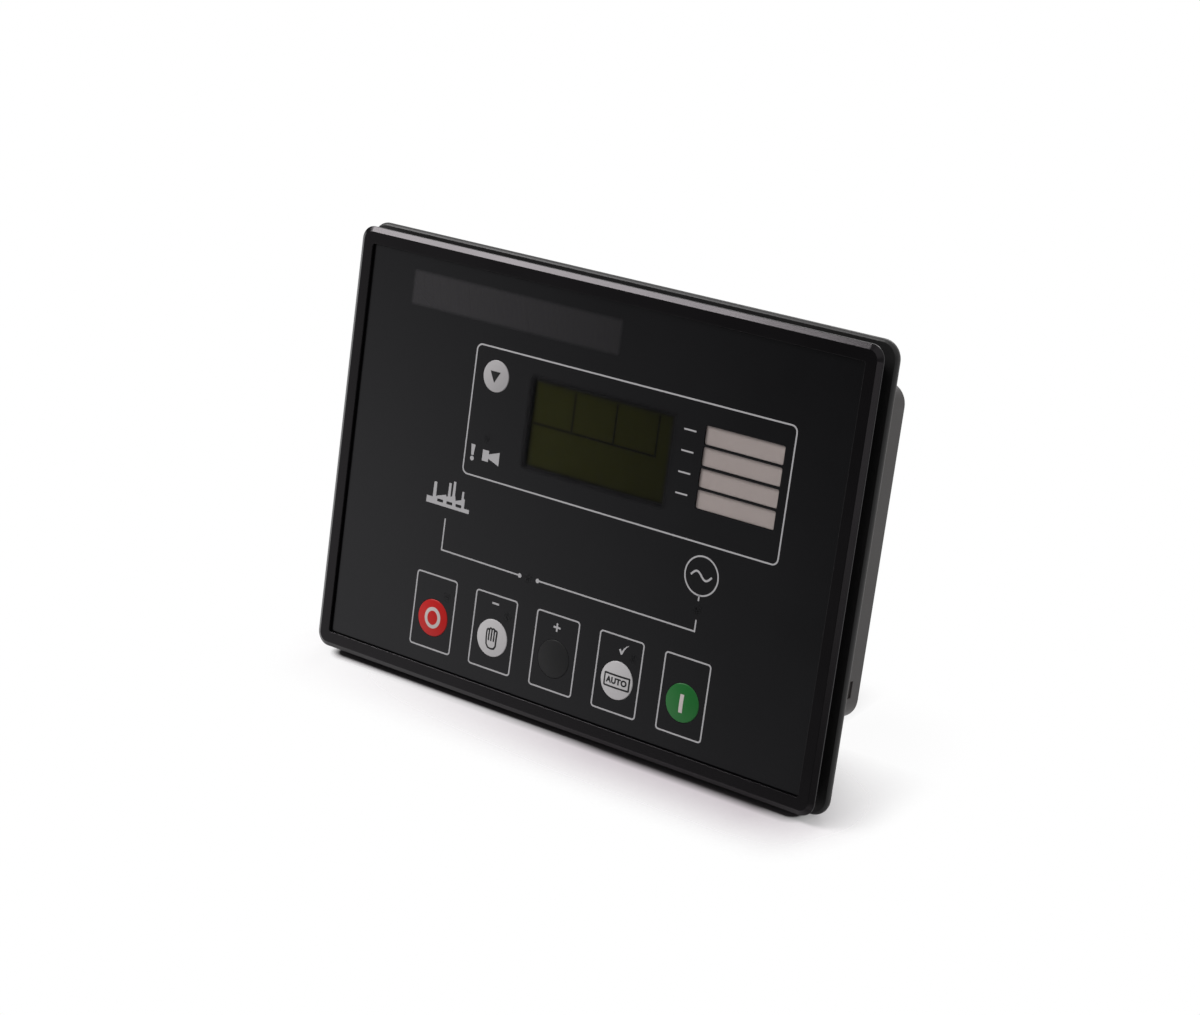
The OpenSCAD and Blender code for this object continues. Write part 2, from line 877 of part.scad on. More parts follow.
front_bezel();
membrane_overlay();
title_card();
alarm_card();
key_stop();
key_manual();
key_blank();
key_auto();
key_start();
key_scroll();
plunger_stop();
plunger_manual();
plunger_blank();
plunger_auto();
plunger_start();
plunger_scroll();
switch_bodies();
indicator_leds();
display_board();
display_board_screws();
lcd_glass();
lcd_frame();
lcd_backlight();
lcd_contact_strips();
display_header();
display_socket();
ribbon_cable();
main_socket();
main_header();
main_board();
main_board_screws();
processor();
relays();
relay_pins();
capacitors();
lower_headers();
lower_pins();
upper_headers();
upper_pins();
comms_socket();
comms_contacts();
rear_case();
case_screws();
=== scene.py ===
"""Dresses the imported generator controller: soft moulded edges, printed film, domed keys, finishes and stage.

Lengths are in millimetres in the CAD frame (X right, Y front to back, Z up) and go into meshes in metres.
A shape is a pair: its points, and its faces as blocks of corner numbers, one block for each number of corners.
"""

import math
from types import SimpleNamespace

import bmesh
import bpy
import numpy as np
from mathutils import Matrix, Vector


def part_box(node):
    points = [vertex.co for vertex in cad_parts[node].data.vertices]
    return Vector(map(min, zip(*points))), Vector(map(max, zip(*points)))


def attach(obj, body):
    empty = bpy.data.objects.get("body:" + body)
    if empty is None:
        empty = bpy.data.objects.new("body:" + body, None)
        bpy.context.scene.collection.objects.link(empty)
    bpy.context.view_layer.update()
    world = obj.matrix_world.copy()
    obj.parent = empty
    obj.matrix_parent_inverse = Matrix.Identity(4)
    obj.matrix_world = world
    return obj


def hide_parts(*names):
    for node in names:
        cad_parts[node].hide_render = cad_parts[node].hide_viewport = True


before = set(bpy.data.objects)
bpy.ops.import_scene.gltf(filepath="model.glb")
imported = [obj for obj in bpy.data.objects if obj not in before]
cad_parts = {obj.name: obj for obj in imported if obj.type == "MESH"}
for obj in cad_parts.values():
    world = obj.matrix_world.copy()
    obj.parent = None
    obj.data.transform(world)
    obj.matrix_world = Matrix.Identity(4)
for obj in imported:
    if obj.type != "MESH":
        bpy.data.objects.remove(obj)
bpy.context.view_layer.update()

bl_info = {
    "name": "Generator controller dressing",
    "version": (1, 0, 0),
    "blender": (4, 5, 0),
    "location": "View3D > Sidebar > Controller",
    "description": "Finishes, printed film, keys and stage of a panel-mount generator controller",
    "category": "Object",
}

MM = 0.001
HOUSING = "housing"


# Places taken from the CAD nodes


def span(node):
    """Lowest and highest corner of a CAD node, in millimetres."""
    low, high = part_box(node)
    return np.array(low) / MM, np.array(high) / MM


FILM_LOW, FILM_HIGH = span("membrane_overlay")
FILM_FACE = FILM_LOW[1]
FILM_BACK = FILM_HIGH[1]
FILM_SPREAD = 0.45  # how far the printed sheet reaches past the CAD film towards the rim, on each side

KEYS = [name.removeprefix("key_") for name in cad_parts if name.startswith("key_")]
KEY_GAP = 0.12  # between a key and its hole in the film
KEY_STEM = 2.0  # radius of the stem behind a key
KEY_SKIRT = 1.0  # width of a key's skirt, which lies under the film
SKIRT_FRONT = FILM_BACK + 0.15
SKIRT_BACK = FILM_BACK + 0.55

BAY_BOTTOM = -75.9  # underside of the terminal bay, whose rear edge rests on the floor
BAY_ROUND = 1.2  # rounding of that edge


def key_place(key):
    """Middle of a key, seen from the front, as x and z."""
    low, high = span("key_" + key)
    return (low + high)[[0, 2]] / 2


def key_radius(key):
    """Radius of a key's visible face, which its skirt surrounds."""
    low, high = span("key_" + key)
    return (high - low)[0] / 2 - KEY_SKIRT


# Settings that a user would change


def colour(label, note, default):
    """A colour setting."""
    return bpy.props.FloatVectorProperty(
        name=label, description=note, subtype="COLOR", size=3, min=0, max=1, default=default
    )


def length(label, note, default):
    """A length setting, whose default is given in millimetres."""
    return bpy.props.FloatProperty(
        name=label,
        description=note,
        subtype="DISTANCE",
        unit="LENGTH",
        min=0,
        precision=5,
        default=default * MM,
    )


class ControllerFinish(bpy.types.PropertyGroup):
    """Colours of the controller's finishes."""

    bezel: colour("Front frame", "Black moulding of the front frame", (0.0034, 0.0032, 0.0036))
    film: colour("Film", "Printed front film", (0.0020, 0.0020, 0.0024))
    ink: colour("Ink", "Light ink of the printed lines and signs", (0.46, 0.455, 0.47))
    key_ink: colour("Key ink", "Light ink of the signs on red and green keys", (0.58, 0.535, 0.52))
    dark_ink: colour("Dark ink", "Dark ink of the signs on white keys", (0.010, 0.010, 0.011))
    card: colour("Label card", "White card behind the label windows", (0.41, 0.358, 0.343))
    smoke: colour("Title window", "Smoked tint of the film over the title card", (0.036, 0.0345, 0.037))
    strip: colour("Title card", "Grey card behind the title window", (0.120, 0.117, 0.122))
    red: colour("Stop key", "Red of the stop key", (0.51, 0.008, 0.007))
    white: colour("White keys", "White of the manual and auto keys", (0.545, 0.535, 0.545))
    # The scroll key is the same white plastic as the other white keys; its darker colour is painted shade, for
    # the lesser light on it.
    scroll: colour("Scroll key", "Off-white of the small scroll key", (0.435, 0.425, 0.435))
    black: colour("Blank key", "Black of the unmarked key", (0.0036, 0.0036, 0.0042))
    green: colour("Start key", "Green of the start key", (0.010, 0.138, 0.024))
    crystal: colour("Display", "Olive of the display's active area", (0.0168, 0.0176, 0.0024))
    case: colour("Rear case", "Warm dark grey of the rear moulding", (0.040, 0.035, 0.034))
    terminal: colour("Terminals", "Green of the terminal headers", (0.018, 0.130, 0.045))
    board: colour("Boards", "Solder mask of the circuit boards", (0.010, 0.075, 0.030))


class ControllerSizes(bpy.types.PropertyGroup):
    """Sizes of the printed front and of the softened edges."""

    line: length("Line", "Width of the printed lines", 0.60)
    heavy: length("Heavy line", "Width of the plus, minus and wave signs", 0.75)
    key_frame_w: length("Key frame width", "Width of the frame round a key", 20.0)
    key_frame_h: length("Key frame height", "Height of the frame round a key", 29.2)
    ink: length("Ink height", "How far the print stands proud of the film", 0.03)
    dome: length("Key dome", "Height of a key's dome", 0.6)
    key_round: length("Key rim", "Rounding of a key's rim", 0.3)
    frame_edge: length("Frame edge", "Rounding of the front frame's edges", 0.16)
    case_edge: length("Case edge", "Rounding of the rear case's edges", 0.35)
    terminal_edge: length("Terminal edge", "Rounding of the edges of the terminals and the socket", 0.14)


class ControllerStage(bpy.types.PropertyGroup):
    """Light and floor of the stage."""

    lean: bpy.props.FloatProperty(
        name="Lean",
        description="How far the controller leans back on the floor",
        subtype="ANGLE",
        default=math.radians(12.43),
    )
    ambient: bpy.props.FloatProperty(
        name="Ambient", description="Strength of the even light", min=0, default=0.38
    )
    key_power: bpy.props.FloatProperty(
        name="Key light", description="Power of the large soft light", min=0, subtype="POWER", default=15.5
    )
    floor: colour("Floor", "Pale floor", (0.82, 0.768, 0.812))


def sizes_in_mm(context):
    """The size settings in millimetres."""
    group = context.scene.controller_sizes
    return SimpleNamespace(**{name: getattr(group, name) / MM for name in ControllerSizes.__annotations__})


# Shader maths


class Val:
    """A shader value: arithmetic on it adds Math nodes to its tree."""

    def __init__(self, tree, socket):
        self.tree = tree
        self.socket = socket

    def math(self, operation, *others):
        """The value of a Math node whose first input is this value."""
        inputs = dict(enumerate((self, *others)))
        return self.tree.add("ShaderNodeMath", inputs, operation=operation)

    def __add__(self, other):
        return self.math("ADD", other)

    def __sub__(self, other):
        return self.math("SUBTRACT", other)

    def __rsub__(self, other):
        return self.tree.add("ShaderNodeMath", {0: other, 1: self}, operation="SUBTRACT")

    def __mul__(self, other):
        return self.math("MULTIPLY", other)

    def __truediv__(self, other):
        return self.math("DIVIDE", other)

    __radd__ = __add__
    __rmul__ = __mul__

    def high(self, other):
        return self.math("MAXIMUM", other)

    def low(self, other):
        return self.math("MINIMUM", other)

    def size(self):
        return self.math("ABSOLUTE")

    def clamp(self):
        return self.high(0.0).low(1.0)


def highest(values):
    """The highest of several shader values."""
    best = values[0]
    for value in values[1:]:
        best = best.high(value)
    return best


class Tree:
    """Adds nodes to one node tree, which starts empty."""

    def __init__(self, owner):
        owner.use_nodes = True
        self.tree = owner.node_tree
        self.tree.nodes.clear()

    def add(self, kind, sockets=None, out=0, **settings):
        """A node of that kind: settings first, then values or links for its sockets, by name or number."""
        node = self.tree.nodes.new(kind)
        for name, value in settings.items():
            setattr(node, name, value)
        for name, value in (sockets or {}).items():
            if isinstance(value, Val):
                self.tree.links.new(value.socket, node.inputs[name])
            else:
                node.inputs[name].default_value = value
        return Val(self, node.outputs[out]) if node.outputs else None

    def mix(self, factor, first, second):
        """Colour between two colours."""
        return self.add("ShaderNodeMix", {0: factor, 6: first, 7: second}, out=2, data_type="RGBA")

    def place(self):
        """Object coordinates."""
        return self.add("ShaderNodeTexCoord", out=3)

    def axes(self):
        """Object coordinates x, y and z in millimetres."""
        split = self.add("ShaderNodeSeparateXYZ", {0: self.place()})
        outs = split.socket.node.outputs
        return [Val(self, outs[i]) * (1 / MM) for i in range(3)]

    def noise(self, grain, detail=2.0, rough=0.5):
        """Noise whose lumps are about as wide as the grain, in millimetres."""
        sockets = {"Vector": self.place(), "Scale": 1 / (grain * MM), "Detail": detail, "Roughness": rough}
        return self.add("ShaderNodeTexNoise", sockets)

    def bump(self, height, depth):
        """Normal of a surface raised by height, from 0 to 1, times depth in millimetres."""
        return self.add("ShaderNodeBump", {"Height": height, "Strength": 1.0, "Distance": depth * MM})

    def window(self, x, z, middle, size, corner, soft):
        """1 inside a rounded rectangle and 0 outside: the distance to its edge over a soft width."""
        dx = ((x - middle[0]).size() - (size[0] / 2 - corner)).high(0.0)
        dz = ((z - middle[1]).size() - (size[1] / 2 - corner)).high(0.0)
        away = (dx * dx + dz * dz).math("SQRT") - corner
        return (0.5 - away / soft).clamp()

    def spot(self, x, z, middle, radius, soft):
        """1 inside a circle and 0 outside, over a soft width."""
        dx = x - middle[0]
        dz = z - middle[1]
        away = (dx * dx + dz * dz).math("SQRT") - radius
        return (0.5 - away / soft).clamp()

    def surface(self, sockets):
        """Ends the tree in a Principled shader with these values."""
        shader = self.add("ShaderNodeBsdfPrincipled", sockets)
        self.add("ShaderNodeOutputMaterial", {"Surface": shader})


def rgba(values, gain=1.0):
    """A colour with full alpha, made lighter or darker."""
    return (*[v * gain for v in values], 1.0)


def new_material(name):
    """A material and the tree that its nodes go into."""
    material = bpy.data.materials.new(name)
    return material, Tree(material)


def moulded(name, tint, rough, grain=0.35, depth=0.012, tone=0.10, specular=0.5, gleam=(1.0, 1.0, 1.0)):
    """Moulded plastic: a fine grain in the normal, and slow changes of tone and gloss over the surface."""
    material, tree = new_material(name)
    slow = tree.noise(38.0, 3.0)
    fine = tree.noise(grain, 3.0, 0.6)
    tree.surface(
        {
            "Base Color": tree.mix(slow, rgba(tint, 1 - tone), rgba(tint, 1 + tone)),
            "Roughness": rough + (slow - 0.5) * 0.14 + (fine - 0.5) * 0.06,
            "Normal": tree.bump(fine, depth),
            "Specular IOR Level": specular,
            "Specular Tint": rgba(gleam),
        }
    )
    return material


def metal(name, tint, rough):
    """Plated metal: fine handling marks and a slight cloud in its gloss."""
    material, tree = new_material(name)
    cloud = tree.noise(1.6, 3.0)
    marks = tree.noise(0.2, 2.0)
    tree.surface(
        {
            "Base Color": tree.mix(cloud, rgba(tint, 0.82), rgba(tint, 1.06)),
            "Metallic": 1.0,
            "Roughness": rough + (cloud - 0.5) * 0.22,
            "Normal": tree.bump(marks, 0.004),
        }
    )
    return material


# Shapes


def grid_faces(rows, columns, close_rows, close_columns):
    """Quads of a grid of points, wrapped round in the directions that are closed."""
    i = np.arange(rows if close_rows else rows - 1)[:, None]
    j = np.arange(columns if close_columns else columns - 1)[None, :]
    i_next = (i + 1) % rows
    j_next = (j + 1) % columns
    corners = (i * columns + j, i * columns + j_next, i_next * columns + j_next, i_next * columns + j)
    return np.stack(np.broadcast_arrays(*corners), -1).reshape(-1, 4)


def joined(shapes):
    """Several shapes as one: each one's corner numbers go up by the number of points before it."""
    before = np.cumsum([0] + [len(points) for points, _ in shapes])
    points = np.vstack([points for points, _ in shapes])
    blocks = [block + start for (_, own), start in zip(shapes, before) for block in own]
    return points, blocks


def as_mesh(name, shape):
    """A mesh in metres from a shape in millimetres."""
    points, blocks = shape
    mesh = bpy.data.meshes.new(name)
    mesh.from_pydata((points * MM).tolist(), [], [face for block in blocks for face in block.tolist()])
    return mesh


def seated(name, mesh, finish, body, slot, replaces=()):
    """Puts a mesh in the scene at the origin, with its finish and its body. The slot is not used."""
    mesh.materials.clear()
    mesh.materials.append(finish)
    made = bpy.data.objects.new(name, mesh)
    bpy.context.scene.collection.objects.link(made)
    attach(made, body)
    if replaces:
        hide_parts(*replaces)
    return made


def piece(name, shapes, finish, body, slot, replaces=(), smooth=30):
    """A piece from closed shapes, with its faces turned outwards and edges over the smooth angle kept sharp."""
    mesh = as_mesh(name, joined(shapes))
    work = bmesh.new()
    work.from_mesh(mesh)
    bmesh.ops.recalc_face_normals(work, faces=work.faces)
    work.to_mesh(mesh)
    work.free()
    mesh.shade_smooth()
    mesh.set_sharp_from_angle(angle=math.radians(smooth))
    return seated(name, mesh, finish, body, slot, replaces)


def flat(depth):
    """A flat face at one depth."""
    return lambda x, z: np.full(np.shape(x), float(depth))


def dome(key, height):
    """Depth of a key's domed face: a cap of a sphere through the key's rim."""
    low, _ = span("key_" + key)
    middle = key_place(key)
    ball = (key_radius(key) ** 2 + height**2) / (2 * height)

    def face(x, z):
        away = (x - middle[0]) ** 2 + (z - middle[1]) ** 2
        return low[1] + ball - np.sqrt(np.maximum(ball**2 - away, 0))

    return face


def layer(grid, face, height, closed):
    """A thin layer of ink: a grid of x, z points lies on a face, and a second one under it closes the solid."""
    rows, columns, _ = grid.shape
    x, z = grid[..., 0], grid[..., 1]
    top = np.stack([x, face(x, z) - height, z], -1)
    under = np.stack([x, face(x, z) + height / 3, z], -1)[:, ::-1]
    points = np.concatenate([top, under], 1).reshape(-1, 3)
    blocks = [grid_faces(rows, 2 * columns, closed, True)]
    if not closed:
        ring = np.arange(columns - 1)
        end = np.stack([ring, ring + 1, 2 * columns - 2 - ring, 2 * columns - 1 - ring], -1)
        blocks += [end, end + (rows - 1) * 2 * columns]
    return points, blocks


def fine_path(corners, step, closed):
    """A path's corners with further points between them, no more than a step apart."""
    corners = np.asarray(corners, float)
    ends = np.vstack([corners[1:], corners[:1]]) if closed else corners[1:]
    runs = []
    for a, b in zip(corners, ends):
        count = max(1, math.ceil(np.linalg.norm(b - a) / step))
        runs.append(a + (b - a) * np.linspace(0, 1, count, endpoint=False)[:, None])
    return np.vstack(runs if closed else [*runs, corners[-1:]])


def stroke(path, width, closed, columns=2):
    """Grid of a line of constant width.

    Each point of the path is spread to both sides along its mitre, which is kept short at sharp turns.
    """
    path = np.asarray(path, float)
    ahead = np.roll(path, -1, 0) - path
    if not closed:
        ahead[-1] = ahead[-2]
    behind = np.roll(ahead, 1, 0)
    if not closed:
        behind[0] = ahead[0]
    ahead /= np.linalg.norm(ahead, axis=1, keepdims=True)
    behind /= np.linalg.norm(behind, axis=1, keepdims=True)
    across = np.stack([ahead[:, 1] + behind[:, 1], -ahead[:, 0] - behind[:, 0]], 1)
    mitre = across / np.maximum(1 + (ahead * behind).sum(1, keepdims=True), 0.9)
    return path[:, None, :] + mitre[:, None, :] * np.linspace(-0.5, 0.5, columns)[None, :, None] * width


def ring_path(middle, radius, count=72, squeeze=1.0):
    """Points of a circle, or of an ellipse whose height is squeezed."""
    angle = np.linspace(0, 2 * math.pi, count, endpoint=False)
    return np.stack([middle[0] + radius * np.cos(angle), middle[1] + radius * squeeze * np.sin(angle)], 1)


def rounded_path(middle, size, corner, count=7):
    """Points of a rectangle with round corners: a quarter circle about each corner's centre."""
    turn = np.linspace(0, math.pi / 2, count)
    quarters = np.arange(4)[:, None]
    angle = turn[None, :] + quarters * math.pi / 2
    signs = np.array([[1, 1], [-1, 1], [-1, -1], [1, -1]])
    centres = np.asarray(middle) + signs * (np.asarray(size) / 2 - corner)
    points = centres[:, None, :] + corner * np.stack([np.cos(angle), np.sin(angle)], -1)
    return points.reshape(-1, 2)


def values_of(items, name, count, kind):
    """One attribute of all items of a mesh as an array."""
    values = np.empty(count * len(items), kind)
    items.foreach_get(name, values)
    return values


def from_curve(curve, face, height):
    """Shape of a flat curve's filled solid, laid on a face with its front proud by height."""
    holder = bpy.data.objects.new("outline", curve)
    mesh = bpy.data.meshes.new_from_object(holder)
    u, v, w = values_of(mesh.vertices, "co", 3, np.float32).astype(float).reshape(-1, 3).T
    corners = values_of(mesh.loops, "vertex_index", 1, np.int32)
    starts = values_of(mesh.polygons, "loop_start", 1, np.int32)
    counts = values_of(mesh.polygons, "loop_total", 1, np.int32)
    blocks = [corners[starts[counts == n][:, None] + np.arange(n)] for n in np.unique(counts)]
    bpy.data.objects.remove(holder)
    bpy.data.meshes.remove(mesh)
    bpy.data.curves.remove(curve)
    return np.stack([u, face(u, v) - height + w.max() - w, v], 1), blocks


def filled(loops, face, height, thick):
    """A flat plate bounded by loops, outlines and holes alike, of that thickness."""
    curve = bpy.data.curves.new("outline", "CURVE")
    curve.dimensions = "2D"
    curve.fill_mode = "BOTH"
    curve.extrude = thick / 2
    for loop in loops:
        spline = curve.splines.new("POLY")
        spline.points.add(len(loop) - 1)
        flat_points = np.column_stack([loop, np.zeros(len(loop)), np.ones(len(loop))])
        spline.points.foreach_set("co", flat_points.ravel())
        spline.use_cyclic_u = True
    return from_curve(curve, face, height)


def words(text, size, middle, face, height, thick):
    """A generic word as a flat solid."""
    curve = bpy.data.curves.new("outline", "FONT")
    curve.body = text
    curve.size = size
    curve.align_x = "CENTER"
    curve.align_y = "CENTER"
    curve.extrude = thick / 2
    curve.offset = 0.05 * size
    curve.space_character = 1.08
    curve.resolution_u = 4
    points, blocks = from_curve(curve, lambda x, z: face(x + middle[0], z + middle[1]), height)
    return points + [middle[0], 0, middle[1]], blocks


def lathe(profile, middle, count=96):
    """A profile of radius and depth turned about a line along Y.

    The profile's two ends lie on that line and close the poles.
    """
    profile = np.asarray(profile, float)
    ends, sides = profile[[0, -1]], profile[1:-1]
    angle = np.linspace(0, 2 * math.pi, count, endpoint=False)[:, None]
    x = middle[0] + sides[:, 0] * np.cos(angle)
    z = middle[1] + sides[:, 0] * np.sin(angle)
    body = np.stack([x, np.broadcast_to(sides[:, 1], x.shape), z], -1).reshape(-1, 3)
    columns = len(sides)
    first = np.arange(count) * columns
    after = np.roll(first, -1)
    poles = [[middle[0], ends[0, 1], middle[1]], [middle[0], ends[1, 1], middle[1]]]
    start = np.stack([first, after, np.full(count, len(body))], 1)
    finish = np.stack([after + columns - 1, first + columns - 1, np.full(count, len(body) + 1)], 1)
    return np.vstack([body, poles]), [grid_faces(count, columns, True, False), start, finish]


FLAT_TURN = math.radians(0.5)  # faces that turn less than this are one flat
SHARP_TURN = math.radians(30)  # edges that turn more than this are sharp
ROUND_AREA = 150 * MM**2  # the largest face of a round


def softened(node, edge, finish, slot, segments=3):
    """A copy of a CAD node with its doubles merged, its flats joined and its sharp edges rounded.

    Narrow faces that bend gently into a neighbour belong to a round and are shaded smooth; the flats stay flat.
    """
    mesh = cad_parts[node].data.copy()
    mesh.name = node + "_soft"
    if "custom_normal" in mesh.attributes:
        mesh.attributes.remove(mesh.attributes["custom_normal"])
    work = bmesh.new()
    work.from_mesh(mesh)
    bmesh.ops.remove_doubles(work, verts=work.verts, dist=0.002 * MM)
    bmesh.ops.dissolve_limit(work, angle_limit=FLAT_TURN, verts=work.verts, edges=work.edges)
    for side in work.faces:
        gentle = any(FLAT_TURN < border.calc_face_angle(0.0) < SHARP_TURN for border in side.edges)
        side.smooth = gentle and side.calc_area() < ROUND_AREA
    work.to_mesh(mesh)
    work.free()
    made = seated(node + "_soft", mesh, finish, HOUSING, slot, [node])
    bevel = made.modifiers.new("edges", "BEVEL")
    bevel.width = edge * MM
    bevel.segments = segments
    bevel.limit_method = "ANGLE"
    bevel.angle_limit = SHARP_TURN
    bevel.use_clamp_overlap = False
    bevel.loop_slide = False
    bevel.harden_normals = True
    return made


def dressed(finish, *nodes):
    """Gives CAD nodes a finish."""
    for node in nodes:
        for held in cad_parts[node].material_slots:
            held.material = finish


# Operators, one for each piece or group of like pieces


class CONTROLLER_OT_front_frame(bpy.types.Operator):
    """Front frame with softly rounded edges in satin black plastic"""

    bl_idname = "controller.front_frame"
    bl_label = "Front frame"

    def execute(self, context):
        tones = context.scene.controller_finish
        gleam = (1.0, 0.93, 0.99)
        plastic = moulded("satin black moulding", tones.bezel, 0.21, 0.30, 0.003, specular=0.22, gleam=gleam)
        softened("front_bezel", sizes_in_mm(context).frame_edge, plastic, "bezel_plastic")
        return {"FINISHED"}


# Windows and lamp holes of the film: middle, then width and height
TITLE_WINDOW = ((-40.4, 65.6), (98.9, 12.3))
DISPLAY_WINDOW = ((4.9, 26.3), (65.6, 34.0))
LABEL_ROWS = (39.1, 31.3, 23.45, 15.65)
LABEL_MIDDLE = 68.4
LABEL_SIZE = (33.9, 6.9)
LAMP_SPOTS = (
    (-45.6, 15.5), (-17.9, -32.1), (58.9, -24.0), (-55.3, -49.2), (-25.45, -49.2), (34.25, -49.2),
)


def film_finish(tones):
    """Satin film: printed black, with clear windows that let the cards, lamps and display show."""
    material, tree = new_material("printed film")
    x, _, z = tree.axes()
    labels = highest([tree.window(x, z, (LABEL_MIDDLE, row), LABEL_SIZE, 0.7, 0.10) for row in LABEL_ROWS])
    lamps = highest([tree.spot(x, z, place, 1.3, 1.8) for place in LAMP_SPOTS])
    title = tree.window(x, z, *TITLE_WINDOW, 0.5, 1.8)
    display = tree.window(x, z, *DISPLAY_WINDOW, 1.6, 3.2)
    # How much shows through each kind of window
    clear = highest([labels * 0.98, title * 0.25, display * 0.92, lamps * 0.22])
    # The title window's smoked tint, with painted light: stronger, and so lighter, towards the left.
    title_tint_and_light = title * (0.75 - x * 0.007)
    smear = tree.noise(55.0, 4.0, 0.6)
    fine = tree.noise(0.22, 2.0)
    black = tree.mix(smear, rgba(tones.film, 0.86), rgba(tones.film, 1.14))
    tree.surface(
        {
            "Base Color": tree.mix(title_tint_and_light, black, rgba(tones.smoke)),
            "Roughness": 0.23 + (smear - 0.5) * 0.08 + (fine - 0.5) * 0.04,
            "Normal": tree.bump(fine, 0.003),
            "Specular IOR Level": 0.375,
            "Specular Tint": (0.965, 0.955, 1.0, 1.0),
            "Alpha": 1 - clear,
        }
    )
    return material


class CONTROLLER_OT_film(bpy.types.Operator):
    """Front film: one sheet with round holes for the keys and clear windows"""

    bl_idname = "controller.film"
    bl_label = "Front film"

    def execute(self, context):
        middle = (FILM_LOW + FILM_HIGH)[[0, 2]] / 2
        size = (FILM_HIGH - FILM_LOW)[[0, 2]] + 2 * FILM_SPREAD
        holes = [ring_path(key_place(key), key_radius(key) + KEY_GAP, 96) for key in KEYS]
        sheet = filled([rounded_path(middle, size, 0.8), *holes], flat(FILM_FACE), 0.0, FILM_BACK - FILM_FACE)
        finish = film_finish(context.scene.controller_finish)
        piece("front_film", [sheet], finish, HOUSING, "film", ["membrane_overlay"])
        return {"FINISHED"}


# Print on the film, as x and z on the front
DISPLAY_FRAME = ((16.75, 25.35), (144.7, 50.2), 2.4)  # middle, size and corner
KEY_FRAME_RISE = 2.25  # from a key's middle up to the middle of its frame
KEY_FRAME_CORNER = 1.2
WAVE_RING = ((58.5, -11.35), 7.2)
LABEL_DASH = (42.3, 47.6)  # start and end of the dash beside each label
LABEL_DASH_RISE = 0.2
DIAGRAM_LINES = (
    ((-61.1, -19.4), (-61.1, -31.8), (-22.2, -32.0)),
    ((-13.6, -31.9), (58.9, -31.9), (58.9, -27.6)),
    ((58.7, -20.6), (58.7, -18.55)),
)
DOTS = (((-22.2, -32.05), 0.85), ((-13.6, -31.95), 0.85), ((-51.85, 6.65), 0.9))  # middle and radius
MINUS_SIGN = ((-33.4, -45.7), (-30.1, -45.7))
PLUS_SIGN = (((-3.4, -47.0), (-0.1, -47.0)), ((-1.75, -45.35), (-1.75, -48.65)))
BANG_BAR = ((-52.85, 12.1), (-52.4, 7.9), (-51.3, 7.9), (-50.85, 12.1))
HORN_SIGN = (
    (-47.0, 6.9), (-44.0, 6.9), (-44.0, 8.2), (-38.8, 6.4), (-38.9, 11.6), (-44.0, 9.9), (-44.0, 11.2),
    (-47.0, 11.2),
)
TICK_SIGN = (
    (27.4, -47.4), (28.15, -46.95), (28.75, -47.9), (29.6, -46.5), (30.6, -45.5), (31.9, -44.8), (30.9, -45.8),
    (30.0, -47.0), (29.1, -49.0), (28.55, -49.15), (28.0, -48.3),
)
STATION_OUTLINE = (
    (-71.55, -15.0), (-50.1, -15.0), (-50.1, -13.45), (-52.7, -13.45), (-52.75, -10.1), (-53.35, -9.6),
    (-53.4, -7.15), (-54.35, -7.15), (-54.4, -10.5), (-57.2, -11.45), (-57.45, -10.2), (-57.75, -9.4),
    (-57.85, -4.2), (-58.95, -4.2), (-59.05, -9.6), (-59.4, -10.4), (-59.95, -10.4), (-60.0, -5.2),
    (-61.15, -5.2), (-61.2, -10.6), (-61.8, -11.0), (-62.1, -10.2), (-66.6, -11.6), (-67.0, -12.0),
    (-67.1, -6.3), (-68.5, -6.3), (-68.6, -12.4), (-71.55, -12.4),
)
STATION_SLOTS = ((-64.7, -13.12), (-60.05, -13.12), (-55.5, -13.12))
STATION_SLOT_SIZE = (2.95, 1.15)


def wave_path():
    """A wave: a sine along x, a little longer than one period."""
    part = np.linspace(-0.05, 1.05, 37)
    return np.stack([54.3 + 8.3 * part, -11.3 + 1.4 * np.sin(2 * math.pi * part)], 1)


class CONTROLLER_OT_front_print(bpy.types.Operator):
    """Lines, frames and generic signs printed on the film"""

    bl_idname = "controller.front_print"
    bl_label = "Front print"

    def execute(self, context):
        sizes = sizes_in_mm(context)
        face, ink, line = flat(FILM_FACE), sizes.ink, sizes.line
        frame_size = (sizes.key_frame_w, sizes.key_frame_h)
        framed = [key_place(key) + [0, KEY_FRAME_RISE] for key in KEYS if key != "scroll"]
        closed = [rounded_path(*DISPLAY_FRAME)]
        closed += [rounded_path(middle, frame_size, KEY_FRAME_CORNER) for middle in framed]
        closed += [ring_path(*WAVE_RING)]
        dashes = [[(end, row + LABEL_DASH_RISE) for end in LABEL_DASH] for row in LABEL_ROWS]
        opened = [*DIAGRAM_LINES, *dashes]
        heavy = [MINUS_SIGN, *PLUS_SIGN, wave_path()]
        # Each heavy stroke has a height of its own, so that no two faces lie in one plane where they cross.
        heights = ink * 1.1 + 0.004 * np.arange(len(heavy))
        parts = [layer(stroke(path, line, True), face, ink, True) for path in closed]
        parts += [layer(stroke(path, line, False), face, ink, False) for path in opened]
        parts += [layer(stroke(path, sizes.heavy, False), face, h, False) for path, h in zip(heavy, heights)]
        slots = [rounded_path(middle, STATION_SLOT_SIZE, 0.3, 3) for middle in STATION_SLOTS]
        signs = [[ring_path(*dot, 32)] for dot in DOTS]
        signs += [[BANG_BAR], [STATION_OUTLINE, *slots], [HORN_SIGN], [TICK_SIGN]]
        parts += [filled(loops, face, ink * 1.2, ink * 1.5) for loops in signs]
        tones = context.scene.controller_finish
        pale = moulded("pale print", tones.ink, 0.45, grain=0.18, depth=0.003, tone=0.05, specular=0.3)
        piece("front_print", parts, pale, HOUSING, "white_card")
        return {"FINISHED"}


